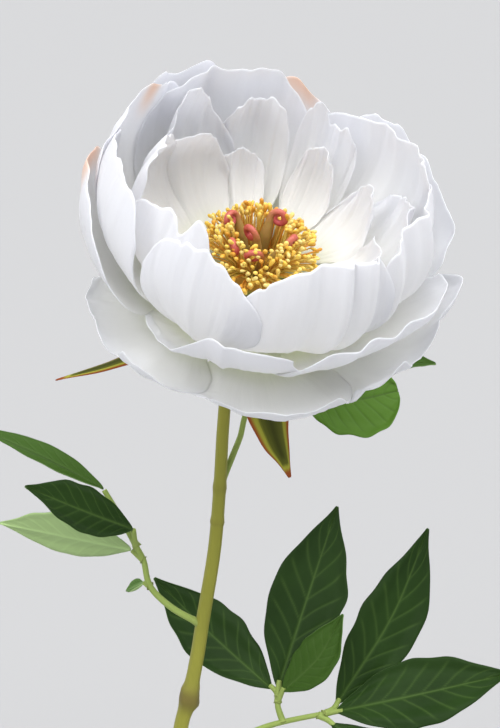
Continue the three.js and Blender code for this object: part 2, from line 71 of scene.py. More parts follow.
RINGS = [
    dict(name="inner_petal", droop=0, tuck=0, tip=0.75, inset=0,
         profile=[(PETAL_FOOT, 0), (24, -3), (42, 8), (33, 31)], petals=[
        petal(172, 24, [(-1, 1), (-0.2, 1.1), (0.5, 1.08), (1, 0.95)], ruffle=1.4, curl=-2,
              lean=(5, 8, 8), tip=0.95),
        petal(141, 28, [(-1, 0.72), (-0.75, 0.86), (-0.45, 1), (0, 1.06), (0.4, 1.04), (0.55, 0.98),
              (0.75, 1.02), (1, 0.95)], ruffle=0.5, curl=-1.5, fold=-2.5, tip=1, lean=(0, 1, 5)),
        petal(106, 15, [(-1, 0.72), (0, 0.82), (1, 0.74)], ruffle=0.4, fold=1, tip=0.9),
        petal(64, 15, [(-1, 0.78), (-0.4, 0.9), (0.5, 0.95), (1, 0.86)], ruffle=0.8, fold=1.5),
        petal(32, 21, [(-1, 0.84), (-0.6, 0.93), (-0.2, 0.96), (0.4, 0.85), (1, 0.66)], ruffle=1.3,
              curl=1, fold=1),
        petal(-6, 20, [(-1, 0.74), (0, 0.8), (0.6, 0.84), (1, 0.7)], ruffle=1.3, curl=0.5, fold=1),
    ]),
    dict(name="middle_petal", droop=0, tuck=0, tip=0.8, inset=0,
         profile=[(PETAL_FOOT, -2.2), (30, -6.5), (50, 6), (42, 38)], petals=[
        petal(220, 28, [(-1, 0.92), (-0.4, 0.99), (0, 1.04), (0.3, 1.04), (0.42, 1), (0.6, 1.07),
              (0.85, 1.07), (1, 1)], ruffle=0.7, curl=-1, tip=1),
        petal(132, 29, [(-1, 0.8), (-0.57, 0.9), (-0.37, 0.99), (-0.05, 1.06), (0.27, 1.05), (0.5, 0.96),
              (1, 0.86)], ruffle=1.2, curl=-1, fold=1.5, pleats=[(-0.25, 0.07, -1.4), (0.2, 0.08, 1.2),
              (0.5, 0.06, -1.2)]),
        petal(99, 17, [(-1, 0.84), (-0.7, 0.96), (-0.2, 0.985), (0.06, 0.95), (0.35, 0.98), (0.7, 0.96),
              (1, 0.86)], ruffle=0.6, curl=-1.5, fold=3, tip=0.95),
        petal(66, 16, [(-1, 0.86), (-0.5, 0.94), (0, 0.91), (0.15, 0.88), (0.28, 0.98), (0.5, 1.02),
              (1, 0.9)], ruffle=0.9, curl=0.5, fold=2, tip=0.95),
        petal(14, 31, [(-1, 0.9), (-0.5, 0.95), (0, 0.9), (0.5, 0.84), (1, 0.7)], ruffle=1.5, curl=1,
              fold=1, pleats=[(-0.3, 0.07, 1.3), (0.05, 0.06, -1.3), (0.4, 0.07, 1.4)]),
    ]),
    dict(name="cup_petal", droop=0, tuck=0, tip=0.95, inset=0.4,
         profile=[(PETAL_FOOT, -4.4), (35, -10), (60, 8), (49, 42)], petals=[
        petal(114, 40, [(-1, 0.8), (-0.9, 0.86), (-0.77, 0.92), (-0.6, 0.97), (-0.3, 1.03), (-0.1, 1),
              (0.2, 1.02), (0.45, 1.01), (0.7, 0.98), (1, 0.88)], ruffle=0.5, curl=-1,
              pleats=[(-0.6, 0.06, 1.2), (-0.25, 0.08, -1.3), (0.15, 0.07, 1.3), (0.55, 0.08, -1.3)]),
        petal(38, 38, [(-1, 1), (-0.7, 1.03), (-0.1, 0.98), (0.2, 0.955), (0.55, 0.925), (1, 0.9)],
              ruffle=0.8, curl=-1, pleats=[(-0.6, 0.07, -1.6), (-0.3, 0.06, 1.4), (0, 0.07, -1.5),
              (0.3, 0.06, 1.2)]),
        petal(-12, 34, [(-1, 0.95), (-0.8, 1.02), (-0.5, 1.045), (0, 1.03), (0.5, 1), (1, 0.93)],
              ruffle=0.5, curl=-1, pleats=[(-0.75, 0.07, 2.2), (-0.5, 0.08, -2.2), (-0.1, 0.1, 2.2)]),
        petal(-68, 32, [(-1, 0.9), (-0.8, 0.95), (-0.6, 0.985), (-0.3, 1.02), (0.1, 1.04), (0.32, 1.02),
              (0.5, 1.03), (0.8, 1.03), (1, 0.9)], ruffle=0.6, curl=0, pleats=[(0.02, 0.12, -1.6),
              (0.28, 0.07, 2.4), (0.42, 0.05, -2.2), (0.6, 0.08, 2.4), (0.8, 0.06, -2)]),
        petal(-109, 24, [(-1, 0.93), (-0.85, 0.99), (-0.6, 1.02), (-0.1, 1.02), (0.2, 1), (0.45, 0.965),
              (1, 0.88)], ruffle=0.4, curl=0, spread=(0.4, 0.92), lean=(1.5, 0, 0)),
        petal(192, 32, [(-1, 0.94), (-0.8, 0.97), (-0.3, 1.02), (0.2, 1.03), (0.8, 1.02), (1, 0.95)],
              ruffle=0.5, curl=-1, lean=(2, 3, 1)),
        petal(154, 31, [(-1, 0.9), (-0.5, 1), (-0.1, 1.06), (0.1, 1.06), (0.5, 1.02), (1, 0.94)],
              ruffle=0.7, curl=1, blush=(-0.2, 0)),
    ]),
    dict(name="outer_petal", droop=2, tuck=0.04, tip=0.85, inset=2.2,
         profile=[(PETAL_FOOT, -6.6), (38, -15), (67, 2), (60, 30)], petals=[
        petal(180, 42, [(-1, 0.8), (-0.64, 0.86), (-0.4, 0.98), (-0.2, 1.03), (0.15, 1.05), (0.6, 0.98),
              (1, 0.88)], ruffle=0.9, curl=1, blush=(-0.5, 0.1)),
        petal(-108, 38, [(-1, 0.5), (-0.6, 0.54), (-0.3, 0.62), (-0.1, 0.76), (0.18, 0.9), (1, 0.86)],
              ruffle=0.8, curl=0.5),
        petal(-38, 40, [(-1, 0.85), (-0.4, 0.9), (0, 0.88), (0.5, 0.92), (1, 0.86)], ruffle=1.5, curl=1.5,
              fold=1),
        petal(34, 40, [(-1, 0.86), (-0.6, 0.88), (0, 0.95), (0.35, 0.98), (0.5, 1.02), (0.62, 1),
              (0.75, 1.04), (1, 0.95)], ruffle=1.2, curl=1.5),
        petal(107, 41, [(-1, 0.96), (-0.8, 1), (-0.65, 1.05), (-0.45, 1.01), (-0.15, 1), (0.1, 1.04),
              (0.25, 1.16), (0.38, 1.21), (0.5, 1.1), (0.62, 1.1), (0.85, 1.2), (1, 1.1)], ruffle=1.2,
              curl=1.5, blush=(-0.85, -0.5)),
    ]),
    dict(name="guard_petal", droop=9, tuck=0.13, tip=0.75, inset=2.6,
         profile=[(PETAL_FOOT, -8.8), (36, -20), (62, -15), (66, 6)], petals=[
        petal(-141, 40, [(-1, 0.8), (-0.55, 0.88), (-0.1, 0.98), (0.1, 0.94), (0.25, 0.8), (0.32, 0.84),
              (0.42, 1.04), (0.6, 0.98), (0.8, 0.9), (1, 0.82)], ruffle=0.8, curl=0, lean=(0, 3, 2)),
        petal(-78, 36, [(-1, 0.75), (-0.5, 0.85), (0, 0.95), (0.4, 0.92), (0.7, 1), (1, 0.8)],
              ruffle=1, curl=-1, lean=(2, 4, 3)),
        petal(-20, 37, [(-1, 0.85), (-0.75, 1), (-0.6, 1.06), (-0.45, 0.94), (-0.2, 0.92), (0, 1),
              (0.3, 1.08), (0.6, 1.12), (0.8, 1.08), (1, 1)], ruffle=1.6, curl=1, fold=2),
        petal(50, 41, [(-1, 1), (-0.75, 1.06), (-0.5, 1), (0, 0.95), (0.5, 0.97), (1, 0.85)],
              ruffle=1.8, curl=2),
        petal(128, 42, [(-1, 0.85), (-0.4, 0.97), (0.1, 1), (0.5, 0.94), (1, 0.85)], ruffle=1.8,
              curl=2),
    ]),
]

# Carpels: azimuth and reach of each stigma from the bloom's axis, its height, and the way its tip curls.
CARPELS = [
    (146, 12, 18, 1), (76, 9, 19, -1), (-28, 10, 18, 1),
    (-86, 11, 17, -1), (-156, 11, 16, 1), (-135, 2.5, 17, -1),
]
CARPEL_FOOT_RADIUS = 4.9
CARPEL_FOOT = 1.5
STIGMA_RADIUS, STIGMA_STEPS = 2.6, 40

# Stamens go from the inner, upright ones to the outer, low ones.
STAMEN_BUNDLES = 5
STAMENS_PER_BUNDLE = 70
STAMEN_FOOT_RADIUS = 7.7
STAMEN_FOOT = 1.9
STAMEN_REACH = (8.0, 18.5)
STAMEN_HEIGHT = (14.5, 6.0)

# The stem's route is the frame's. The stalks' routes go a little past the frame's, into what they grow from
# and what they bear.
STEM_PATH = [
    (-10.5, -4.2, 9), (-4.4, -4, 60), (1.2, -3.8, 115), (3.4, -3.6, 140), (5, -3, 161.5), (7.7, -3, 172),
    (10.9, -2.3, 188.5), (12.8, -2, 201), (16.9, -2, 227), (18.8, -2, 250), (19.9, -2.2, 269.5),
    (21.2, -3.2, 284), (24.4, -6.4, 302), (28.4, -15.2, 318.2),
]
STEM_RADIUS = (3.1, 1.8)
KNOB = {"height": 173, "swell": 1.3, "spread": 4}
STALK_RADIUS = 1.1

STALKS = {
    "upper_leaf_stalk": [
        [(18.9, -2, 249.5), (23.2, 3, 259), (25.5, 8, 263.5), (28.6, 14, 272), (38, 18, 276),
         (47.4, 20.1, 274.3)],
        [(28.6, 14, 272), (42, 24, 279), (59.8, 29.9, 276.6)],
    ],
    "left_leaf_stalk": [
        [(11.6, -2, 200), (1.9, -1, 205.5), (-5.2, 0, 212.8), (-7.4, 1, 221.9), (-9.8, -0.6, 228),
         (-10.4, -3.7, 234.5)],
        [(-7.4, 1, 221.9), (-11.3, 3, 224.7)],
        [(-9.4, 0, 227), (-12.6, 2, 232.4), (-20.7, 6, 245.4)],
        [(-5.2, 0, 212.8), (-7.2, 1.7, 213.4)],
    ],
    "right_leaf_stalk": [
        [(4.7, -3.4, 146.6), (20.1, 4, 151.5), (33.1, 12, 154.2), (40.6, 16, 154.7), (58.8, 19.6, 157)],
        [(40.6, 16, 154.7), (38.8, 18, 160), (39, 20.2, 165)],
        [(38.8, 18.6, 161), (38.4, 20.6, 164), (36, 22.4, 166)],
        [(38.9, 19.5, 163), (39, 21, 165.5), (39.4, 22.2, 168)],
        [(38.9, 18.8, 161.5), (39.8, 18.6, 164), (40.9, 18.1, 167)],
        [(55, 19, 156.4), (58.8, 20.6, 157.8), (60.8, 23, 160.4)],
        [(56, 19.2, 156.6), (59.4, 18.9, 157.4), (62, 18.3, 158)],
        [(53, 18.6, 156.1), (56.4, 17.6, 154.8), (58.8, 15.9, 153.5)],
    ],
}

# Leaves: full width, direction that the upper side faces, upward fold, and midrib from base to tip.
LEAVES = {
    "upper_leaf_1": (29, (0, -0.8, 0.6), 0.12, [(47.7, 20.2, 274.2), (64, 22, 272.5), (80, 26, 274.5)]),
    "upper_leaf_2": (16, (0.1, -0.35, 0.93), 0.2, [(60.2, 30, 276.6), (77, 36.5, 281.2), (93.5, 34, 282)]),
    "left_leaf_1": (19, (0.1, -0.65, 0.75), 0.15, [(-10.6, -4, 234.9), (-27, -10, 243.8), (-45, -18, 255)]),
    "left_leaf_2": (21, (0, 0.9, 0.45), 0.12, [(-11.7, 3.2, 224.9), (-31, 7, 227.6), (-57.7, 16, 229.8)]),
    "left_leaf_3": (13, (0.3, -0.15, 0.95), 0.25, [(-20.9, 6.2, 245.8), (-40, 10, 255.4), (-67, 16, 265.7)]),
    "left_leaf_4": (5, (0, -0.6, 0.8), 0.1, [(-7.5, 1.9, 213.2), (-10.5, 5, 210.6), (-13.8, 8, 207.8)]),
    "right_leaf_1": (23, (0.1, -0.75, 0.65), 0.12,
                     [(36.4, 22.2, 164.9), (14.3, 31, 182.6), (-5.4, 35, 202)]),
    "right_leaf_2": (27, (0, -0.85, 0.5), 0.12, [(38.9, 21.8, 165.2), (49.5, 34, 195), (60.4, 48, 224.5)]),
    "right_leaf_3": (16, (-0.2, -0.75, 0.6), 0.12, [(40.5, 18, 165.6), (52.6, 16, 179), (61.6, 18, 195)]),
    "right_leaf_4": (23, (0.25, -0.8, 0.5), 0.12, [(60, 22.6, 158.8), (80, 32, 189), (92.6, 40, 219)]),
    "right_leaf_5": (25, (0, -0.75, 0.65), 0.12, [(59.6, 18.6, 157.6), (89.5, 14, 166.5), (120.1, 6, 178)]),
    "right_leaf_6": (17, (0, -0.3, 0.95), 0.15, [(57.8, 16.6, 153.8), (73, 4, 149), (91, -10, 142)]),
}

PALE_LEAVES = ("left_leaf_2", "left_leaf_4")
BLUNT_LEAVES = ("upper_leaf_1",)

# How far the upper side of a leaf is the brighter green of a young one.
YOUNG_LEAVES = {"upper_leaf_1": 0.8, "upper_leaf_2": 0.3, "left_leaf_3": 0.3, "right_leaf_3": 0.25}

# Sepals: the same four values, with the fold downward.
SEPALS = {
    "front_sepal": (15, (0.25, -1, 0.1), 0.3,
                    [(31.8, -22.5, 315.6), (33.6, -29.5, 301), (35.3, -31, 282.5), (41.8, -30, 262.2)]),
    "left_sepal": (6, (-0.3, -0.5, 0.8), 0.4,
                   [(20.6, -16.2, 320.6), (5, -7, 303.5), (-17.5, 0, 291.7), (-36, 3, 285.2)]),
    "back_sepal": (16, (0.1, 0.3, -1), 0.3,
                   [(29.2, -9.6, 318.2), (30, 4, 319), (32, 18, 322), (34, 30, 328)]),
}


# ------------------------------------------------------------------ small maths
def smooth(x, low, high):
    t = np.clip((np.asarray(x, float) - low) / (high - low), 0, 1)
    return t * t * (3 - 2 * t)


def unit(v):
    v = np.asarray(v, float)
    return v / np.linalg.norm(v, axis=-1, keepdims=True)


def spline(points, count):
    """count places spaced evenly along a centripetal Catmull-Rom curve through points."""
    p = np.asarray(points, float)
    p = np.vstack([2 * p[0] - p[1], p, 2 * p[-1] - p[-2]])
    knots = np.concatenate([[0], np.cumsum(np.sqrt(np.linalg.norm(np.diff(p, axis=0), axis=1)))])
    fine = []
    for k in range(1, len(p) - 2):
        t0, t1, t2, t3 = knots[k - 1:k + 3]
        t = np.linspace(t1, t2, 40, endpoint=k == len(p) - 3)[:, None]
        a1 = (t1 - t) / (t1 - t0) * p[k - 1] + (t - t0) / (t1 - t0) * p[k]
        a2 = (t2 - t) / (t2 - t1) * p[k] + (t - t1) / (t2 - t1) * p[k + 1]
        a3 = (t3 - t) / (t3 - t2) * p[k + 1] + (t - t2) / (t3 - t2) * p[k + 2]
        b1 = (t2 - t) / (t2 - t0) * a1 + (t - t0) / (t2 - t0) * a2
        b2 = (t3 - t) / (t3 - t1) * a2 + (t - t1) / (t3 - t1) * a3
        fine.append((t2 - t) / (t2 - t1) * b1 + (t - t1) / (t2 - t1) * b2)
    fine = np.vstack(fine)
    length = np.concatenate([[0], np.cumsum(np.linalg.norm(np.diff(fine, axis=0), axis=1))])
    at = np.linspace(0, length[-1], count)
    return np.stack([np.interp(at, length, fine[:, k]) for k in range(3)], 1)


def waves(rng, u, v, count, low, high):
    """A soft random field over (u, v) of about unit size, from a few crossing waves."""
    field = np.zeros_like(u)
    for _ in range(count):
        fu, fv = rng.uniform(low, high) * rng.choice([-1, 1]), rng.uniform(low, high) * 0.5
        field += np.sin(2 * math.pi * (fu * u + fv * v) + rng.uniform(0, 2 * math.pi))
    return field / math.sqrt(count)


def grid_normals(p):
    """Unit normals of a grid of points, rows along v and columns along u: across x along."""
    across = np.gradient(p, axis=1)
    along = np.gradient(p, axis=0)
    n = np.cross(across, along)
    return n / np.maximum(np.linalg.norm(n, axis=-1, keepdims=True), 1e-9)


def blur(field, times):
    for _ in range(times):
        f = np.pad(field, 1, mode="edge")
        field = (f[:-2, 1:-1] + f[2:, 1:-1] + f[1:-1, :-2] + f[1:-1, 2:] + 2 * f[1:-1, 1:-1]) / 6
    return field


def widest(field, times):
    for _ in range(times):
        f = np.pad(field, 1, mode="edge")
        field = np.maximum.reduce([f[:-2, 1:-1], f[2:, 1:-1], f[1:-1, :-2], f[1:-1, 2:], f[1:-1, 1:-1]])
    return field


# ------------------------------------------------------------------ meshes
def grid_faces(rows, columns, start=0, flip=False):
    j, i = np.mgrid[0:rows - 1, 0:columns - 1]
    a = start + (j * columns + i).ravel()
    quad = np.stack([a, a + 1, a + columns + 1, a + columns], 1)
    return (quad[:, ::-1] if flip else quad).tolist()


def mesh_object(name, vertices, faces, attributes=None, uv=None):
    """A smooth mesh object; vertices in millimetres; attributes and uv hold one value per vertex."""
    mesh = bpy.data.meshes.new(name)
    mesh.from_pydata((np.asarray(vertices) * MM).tolist(), [], faces)
    for key, values in (attributes or {}).items():
        layer = mesh.attributes.new(key, "FLOAT", "POINT")
        layer.data.foreach_set("value", np.asarray(values, np.float32).ravel())
    if uv is not None:
        loops = np.zeros(len(mesh.loops), np.int32)
        mesh.loops.foreach_get("vertex_index", loops)
        layer = mesh.uv_layers.new(name="blade")
        layer.data.foreach_set("uv", np.asarray(uv, np.float32)[loops].ravel())
    mesh.shade_smooth()
    mesh.validate()
    obj = bpy.data.objects.new(name, mesh)
    bpy.context.scene.collection.objects.link(obj)
    return obj


def sheet_object(name, middle, thickness, attributes, uv):
    """A closed thin sheet about the grid middle; the margin is thinned so that it catches the light."""
    rows, columns = middle.shape[:2]
    normals = grid_normals(middle)
    half = thickness / 2 * np.ones((rows, columns, 1))
    half[0] *= 0.6
    half[-1] *= 0.4
    half[:, 0] *= 0.4
    half[:, -1] *= 0.4
    front = (middle + normals * half).reshape(-1, 3)
    back = (middle - normals * half).reshape(-1, 3)
    count = rows * columns
    faces = grid_faces(rows, columns) + grid_faces(rows, columns, count, flip=True)
    index = np.arange(count).reshape(rows, columns)
    rim = np.concatenate([index[0, :-1], index[:-1, -1], index[-1, :0:-1], index[:0:-1, 0]])
    faces += [[int(a), int(a) + count, int(b) + count, int(b)] for a, b in zip(rim, np.roll(rim, -1))]
    both = {key: np.concatenate([value.ravel(), value.ravel()]) for key, value in attributes.items()}
    both["side"] = np.concatenate([np.ones(count), np.zeros(count)])
    flat = np.stack([uv[0].ravel(), uv[1].ravel()], 1)
    return mesh_object(name, np.vstack([front, back]), faces, both, np.vstack([flat, flat]))


def tube_rings(path, radii, sides, squash=1.0):
    """The rings of vertices of a tube along path, carried without twist."""
    tangents = unit(np.gradient(path, axis=0))
    normal = np.cross(tangents[0], (0.3, 1, 0.2))
    rings = []
    angles = np.linspace(0, 2 * math.pi, sides, endpoint=False)
    for centre, tangent, radius in zip(path, tangents, radii):
        normal = unit(normal - tangent * np.dot(normal, tangent))
        side = np.cross(tangent, normal)
        ring = np.cos(angles)[:, None] * normal + squash * np.sin(angles)[:, None] * side
        rings.append(centre + ring * np.asarray(radius).reshape(-1, 1))
    return np.array(rings)


def tube_faces(rings, sides, start=0):
    """Faces of a closed tube of that many rings, with an end vertex after the last ring at each end."""
    faces = []
    for k in range(rings - 1):
        for s in range(sides):
            a, b = start + k * sides + s, start + k * sides + (s + 1) % sides
            faces.append([a, b, b + sides, a + sides])
    foot, top = start + rings * sides, start + rings * sides + 1
    last = start + (rings - 1) * sides
    for s in range(sides):
        after = (s + 1) % sides
        faces.append([foot, start + after, start + s])
        faces.append([top, last + s, last + after])
    return faces


class Bundle:
    """Gathers closed tubes with per-vertex attributes into one mesh."""

    def __init__(self, keys):
        self.vertices, self.faces, self.count = [], [], 0
        self.attributes = {key: [] for key in keys}

    def add_tube(self, path, radii, sides, values, squash=1.0):
        rings = tube_rings(path, radii, sides, squash)
        block = np.vstack([rings.reshape(-1, 3), path[:1], path[-1:]])
        self.faces += tube_faces(len(path), sides, self.count)
        self.vertices.append(block)
        self.count += len(block)
        for key, value in values.items():
            value = np.asarray(value, float)
            along = np.full(len(path), value) if value.ndim == 0 else value
            self.attributes[key].append(np.concatenate([np.repeat(along, sides), along[:1], along[-1:]]))

    def finish(self, name):
        attributes = {key: np.concatenate(value) for key, value in self.attributes.items()}
        return mesh_object(name, np.vstack(self.vertices), self.faces, attributes)


# ------------------------------------------------------------------ materials
def new_material(name):
    material = bpy.data.materials.new(name)
    material.use_nodes = True
    tree = material.node_tree
    return material, tree, tree.nodes["Principled BSDF"], tree.nodes["Material Output"]


def node(tree, kind, **settings):
    made = tree.nodes.new(kind)
    for key, value in settings.items():
        if key in made.inputs:
            made.inputs[key].default_value = value
        else:
            setattr(made, key, value)
    return made


def attribute(tree, name):
    return node(tree, "ShaderNodeAttribute", attribute_name=name).outputs["Fac"]


def ramp(tree, value, stops):
    """A colour ramp on value; stops are (place, (r, g, b))."""
    made = node(tree, "ShaderNodeValToRGB")
    made.color_ramp.interpolation = "EASE"
    elements = made.color_ramp.elements
    while len(elements) < len(stops):
        elements.new(0.5)
    for element, (place, colour) in zip(elements, stops):
        element.position = place
        element.color = (*colour, 1)
    tree.links.new(value, made.inputs["Fac"])
    return made.outputs["Color"]


def feed(tree, socket, value):
    """Links a socket to another node's output, or gives it a plain number or (r, g, b)."""
    if isinstance(value, bpy.types.NodeSocket):
        tree.links.new(value, socket)
    else:
        socket.default_value = (*value, 1) if isinstance(value, tuple) else value


def mix_colour(tree, factor, a, b):
    """a where factor is 0 and b where it is 1."""
    made = node(tree, "ShaderNodeMix", data_type="RGBA")
    for index, value in ((0, factor), (6, a), (7, b)):
        feed(tree, made.inputs[index], value)
    return made.outputs[2]


def maths(tree, operation, a, b):
    made = node(tree, "ShaderNodeMath", operation=operation)
    for socket, value in zip(made.inputs, (a, b)):
        feed(tree, socket, value)
    return made.outputs[0]


def noise(tree, scale, stretch=(1, 1, 1), detail=3.0, source="object", rough=0.5):
    """Noise over object space, or over the blade's own (across, along) coordinates."""
    if source == "blade":
        coordinates = node(tree, "ShaderNodeUVMap", uv_map="blade").outputs["UV"]
    else:
        coordinates = node(tree, "ShaderNodeTexCoord").outputs["Object"]
    mapping = node(tree, "ShaderNodeMapping")
    mapping.inputs["Scale"].default_value = stretch
    made = node(tree, "ShaderNodeTexNoise", Scale=scale, Detail=detail, Roughness=rough)
    tree.links.new(coordinates, mapping.inputs["Vector"])
    tree.links.new(mapping.outputs["Vector"], made.inputs["Vector"])
    return made.outputs["Fac"]


def bump(tree, shader, heights, distance, strength):
    made = node(tree, "ShaderNodeBump", Strength=strength, Distance=distance)
    tree.links.new(heights, made.inputs["Height"])
    tree.links.new(made.outputs["Normal"], shader.inputs["Normal"])


def add_translucency(tree, shader, output, share, colour):
    """Lets light through a thin blade: share of the shader is Translucent."""
    through = node(tree, "ShaderNodeBsdfTranslucent")
    tree.links.new(colour, through.inputs["Color"])
    mixed = node(tree, "ShaderNodeMixShader")
    mixed.inputs[0].default_value = share
    tree.links.new(shader.outputs[0], mixed.inputs[1])
    tree.links.new(through.outputs[0], mixed.inputs[2])
    tree.links.new(mixed.outputs[0], output.inputs["Surface"])


def petal_material():
    material, tree, shader, output = new_material("petal_white")
    along = attribute(tree, "along")
    white = ramp(tree, along, [(0.0, (0.62, 0.68, 0.40)), (0.22, (0.84, 0.86, 0.74)),
                               (0.5, (0.90, 0.90, 0.89)), (1.0, (0.90, 0.905, 0.93))])
    fibres = noise(tree, 60, (1.0, 0.05, 1), 4, "blade", 0.6)
    clouds = noise(tree, 55, (1, 1, 1), 3)
    white = mix_colour(tree, maths(tree, "MULTIPLY", fibres, 0.16), white, (0.80, 0.80, 0.83))
    white = mix_colour(tree, maths(tree, "MULTIPLY", clouds, 0.12), white, (0.84, 0.83, 0.80))
    white = mix_colour(tree, attribute(tree, "blush"), white, (0.88, 0.66, 0.52))
    tree.links.new(white, shader.inputs["Base Color"])
    shader.inputs["Roughness"].default_value = 0.7
    shader.inputs["Specular IOR Level"].default_value = 0.25
    shader.inputs["Sheen Weight"].default_value = 0.15
    shader.inputs["Sheen Roughness"].default_value = 0.5
    heights = maths(tree, "ADD", fibres, maths(tree, "MULTIPLY", clouds, 0.5))
    bump(tree, shader, heights, 0.00018, 0.7)
    add_translucency(tree, shader, output, 0.42, white)
    return material


def leaf_material(name, top, top_light, under, vein):
    """Upper side clouded from top to top_light and veined with vein; the underside plain."""
    material, tree, shader, output = new_material(name)
    clouds = noise(tree, 60, (1, 1, 1), 4)
    veins = attribute(tree, "vein")
    face = mix_colour(tree, clouds, top, top_light)
    face = mix_colour(tree, attribute(tree, "young"), face, (0.12, 0.26, 0.03))
    face = mix_colour(tree, maths(tree, "MULTIPLY", veins, 0.75), face, vein)
    back = mix_colour(tree, clouds, under, tuple(c * 0.85 for c in under))
    back = mix_colour(tree, maths(tree, "MULTIPLY", veins, 0.5), back, tuple(c * 1.3 for c in under))
    colour = mix_colour(tree, attribute(tree, "side"), back, face)
    tree.links.new(colour, shader.inputs["Base Color"])
    shader.inputs["Roughness"].default_value = 0.5
    shader.inputs["Specular IOR Level"].default_value = 0.14
    grain = noise(tree, 900, (1, 1, 1), 3)
    bump(tree, shader, maths(tree, "ADD", grain, maths(tree, "MULTIPLY", clouds, 2.0)), 0.00012, 0.5)
    add_translucency(tree, shader, output, 0.14, colour)
    return material


def sepal_material():
    material, tree, shader, output = new_material("sepal_skin")
    edge = attribute(tree, "edge")
    fibres = noise(tree, 30, (1.0, 0.08, 1), 4, "blade")
    wobble = maths(tree, "ADD", edge, maths(tree, "MULTIPLY", maths(tree, "SUBTRACT", fibres, 0.5), 0.25))
    colour = ramp(tree, wobble, [(0.0, (0.050, 0.056, 0.005)), (0.45, (0.10, 0.11, 0.012)),
                                 (0.7, (0.36, 0.36, 0.04)), (0.92, (0.30, 0.07, 0.015))])
    tree.links.new(colour, shader.inputs["Base Color"])
    shader.inputs["Roughness"].default_value = 0.42
    shader.inputs["Specular IOR Level"].default_value = 0.15
    bump(tree, shader, fibres, 0.0002, 0.6)
    add_translucency(tree, shader, output, 0.12, colour)
    return material


def stem_material(name, light, dark, brown):
    material, tree, shader, _ = new_material(name)
    grain = noise(tree, 500, (1, 1, 0.05), 4)
    clouds = noise(tree, 90, (1, 1, 0.3), 3)
    colour = mix_colour(tree, maths(tree, "MULTIPLY", clouds, 0.9), light, dark)
    colour = mix_colour(tree, maths(tree, "MULTIPLY", grain, 0.35), colour, dark)
    colour = mix_colour(tree, attribute(tree, "scar"), colour, brown)
    tree.links.new(colour, shader.inputs["Base Color"])
    shader.inputs["Roughness"].default_value = 0.5
    shader.inputs["Specular IOR Level"].default_value = 0.15
    bump(tree, shader, grain, 0.00025, 0.7)
    return material


def stamen_material():
    material, tree, shader, _ = new_material("stamen_gold")
    speck = noise(tree, 1400, (1, 1, 1), 3)
    filament = ramp(tree, attribute(tree, "hue"), [(0.0, (0.78, 0.68, 0.16)), (1.0, (0.72, 0.30, 0.03))])
    anther = ramp(tree, attribute(tree, "hue"), [(0.0, (0.86, 0.74, 0.27)), (0.55, (0.80, 0.56, 0.08)),
                                                 (1.0, (0.66, 0.28, 0.02))])
    colour = mix_colour(tree, attribute(tree, "anther"), filament, anther)
    colour = mix_colour(tree, maths(tree, "MULTIPLY", speck, 0.35), colour, (0.50, 0.22, 0.02))
    tree.links.new(colour, shader.inputs["Base Color"])
    shader.inputs["Roughness"].default_value = 0.55
    bump(tree, shader, speck, 0.0002, 0.6)
    return material


def carpel_material():
    material, tree, shader, _ = new_material("carpel_skin")
    mottle = noise(tree, 700, (1, 1, 1), 3)
    colour = ramp(tree, attribute(tree, "along"), [(0.0, (0.24, 0.21, 0.04)), (0.32, (0.34, 0.24, 0.05)),
                                                   (0.5, (0.42, 0.075, 0.045)), (0.72, (0.46, 0.05, 0.06)),
                                                   (1.0, (0.58, 0.10, 0.10))])
    colour = mix_colour(tree, maths(tree, "MULTIPLY", mottle, 0.25), colour, (0.72, 0.24, 0.20))
    tree.links.new(colour, shader.inputs["Base Color"])
    shader.inputs["Roughness"].default_value = 0.45
    bump(tree, shader, mottle, 0.0003, 0.6)
    return material


def glaze_material():
    material, tree, shader, _ = new_material("vase_glaze")
    clouds = noise(tree, 22, (1, 1, 1.6), 3)
    specks = noise(tree, 480, (1, 1, 1), 2)
    spots = ramp(tree, specks, [(0.0, (0, 0, 0)), (0.70, (0, 0, 0)), (0.76, (1, 1, 1))])
    colour = mix_colour(tree, clouds, (0.68, 0.67, 0.64), (0.61, 0.60, 0.565))
    colour = mix_colour(tree, maths(tree, "MULTIPLY", spots, 0.35), colour, (0.36, 0.29, 0.20))
    colour = mix_colour(tree, attribute(tree, "bare"), colour, (0.55, 0.46, 0.36))
    tree.links.new(colour, shader.inputs["Base Color"])
    rough = ramp(tree, attribute(tree, "bare"), [(0.0, (0.22,) * 3), (1.0, (0.8,) * 3)])
    tree.links.new(rough, shader.inputs["Roughness"])
    shader.inputs["Coat Weight"].default_value = 0.3
    shader.inputs["Coat Roughness"].default_value = 0.12
    bump(tree, shader, clouds, 0.0006, 0.5)
    return material


# ------------------------------------------------------------------ the bloom's own frame
def bloom_frame():
    """Origin, in millimetres, and axes of the bloom, from the flat top of the frame's receptacle."""
    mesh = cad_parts["receptacle"].data
    centres = np.array([p.center for p in mesh.polygons])
    normals = np.array([p.normal for p in mesh.polygons])
    areas = np.array([p.area for p in mesh.polygons])
    alike = normals @ normals.T > 0.9999
    top = alike[np.argmax(alike @ areas)]
    axis = unit(normals[top].mean(0))
    middle = (centres[top] * areas[top, None]).sum(0) / areas[top].sum()
    right = unit(np.array([axis[2], 0, -axis[0]]))
    return middle / MM - axis * RECEPTACLE_TOP, np.array([right, np.cross(axis, right), axis])


RECEPTACLE_TOP = 1.1
BLOOM_ORIGIN, BLOOM_AXES = bloom_frame()


def to_world(local):
    return BLOOM_ORIGIN + np.asarray(local) @ BLOOM_AXES


